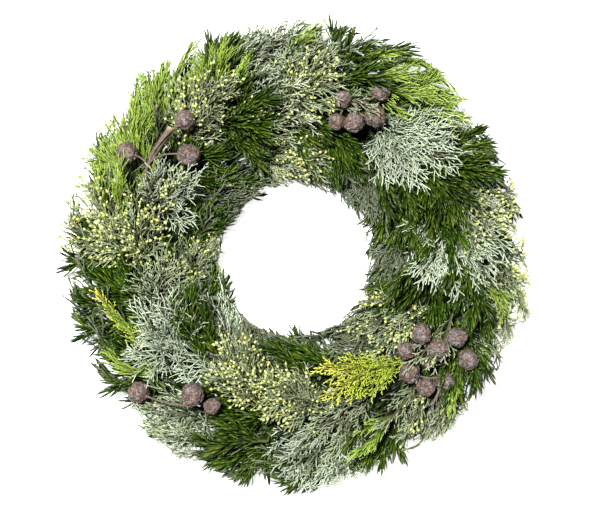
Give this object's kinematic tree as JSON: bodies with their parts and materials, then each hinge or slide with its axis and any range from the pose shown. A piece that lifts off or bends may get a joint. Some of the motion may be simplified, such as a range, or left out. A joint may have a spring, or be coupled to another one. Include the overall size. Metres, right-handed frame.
{
  "type": "fresh evergreen wreath",
  "caption": "Round wreath of mixed fresh fir and cypress sprays with small round seed cones, held by the clamps of a wire ring. It lies on its back or hangs.",
  "frame": {"origin": "on the surface the wreath lies on, under the middle of its outline", "axes": "+Z out of the wreath's face, along its shortest extent; +Y towards the wreath's top"},
  "size_m": [0.5914, 0.608, 0.1173],
  "materials": {
    "ring_wire": "satin",
    "fir": "satin",
    "silver_cypress": "matte",
    "grey_cypress": "matte",
    "budded_cypress": "matte",
    "lime_cypress": "satin",
    "gold_cypress": "satin",
    "cone_wood": "matte"
  },
  "bodies": {
    "root": {"bunch_01_cones_2": "cone_wood", "bunch_01_fir_1": "fir", "bunch_01_fir_3": "fir", "bunch_02_grey_1": "grey_cypress", "bunch_02_lime_3": "lime_cypress", "bunch_02_silver_2": "silver_cypress", "bunch_03_fir_1": "fir", "bunch_03_fir_2": "fir", "bunch_03_grey_3": "grey_cypress", "bunch_04_budded_3": "budded_cypress", "bunch_04_grey_1": "grey_cypress", "bunch_04_silver_2": "silver_cypress", "bunch_05_budded_3": "budded_cypress", "bunch_05_fir_1": "fir", "bunch_05_lime_2": "lime_cypress", "bunch_06_budded_1": "budded_cypress", "bunch_06_cones_2": "cone_wood", "bunch_06_fir_3": "fir", "bunch_06_grey_4": "grey_cypress", "bunch_07_gold_2": "gold_cypress", "bunch_07_grey_1": "grey_cypress", "bunch_07_grey_3": "grey_cypress", "bunch_08_fir_2": "fir", "bunch_08_grey_1": "grey_cypress", "bunch_09_budded_2": "budded_cypress", "bunch_09_fir_1": "fir", "bunch_09_silver_3": "silver_cypress", "bunch_10_budded_2": "budded_cypress", "bunch_10_fir_3": "fir", "bunch_10_grey_1": "grey_cypress", "bunch_11_cones_2": "cone_wood", "bunch_11_grey_3": "grey_cypress", "bunch_11_silver_1": "silver_cypress", "bunch_12_fir_1": "fir", "bunch_12_fir_4": "fir", "bunch_12_lime_3": "lime_cypress", "bunch_12_silver_2": "silver_cypress", "bunch_13_budded_1": "budded_cypress", "bunch_13_fir_3": "fir", "bunch_13_grey_2": "grey_cypress", "bunch_14_budded_2": "budded_cypress", "bunch_14_fir_1": "fir", "bunch_14_fir_3": "fir", "bunch_15_cones_3": "cone_wood", "bunch_15_grey_1": "grey_cypress", "bunch_15_lime_4": "lime_cypress", "bunch_15_silver_2": "silver_cypress", "bunch_16_budded_2": "budded_cypress", "bunch_16_fir_1": "fir", "bunch_16_lime_3": "lime_cypress", "bunch_17_budded_1": "budded_cypress", "bunch_17_fir_2": "fir", "bunch_17_fir_4": "fir", "bunch_17_lime_3": "lime_cypress", "bunch_18_budded_2": "budded_cypress", "bunch_18_fir_1": "fir", "bunch_18_grey_3": "grey_cypress", "clamp_ring": "ring_wire"}
  },
  "joints": []
}
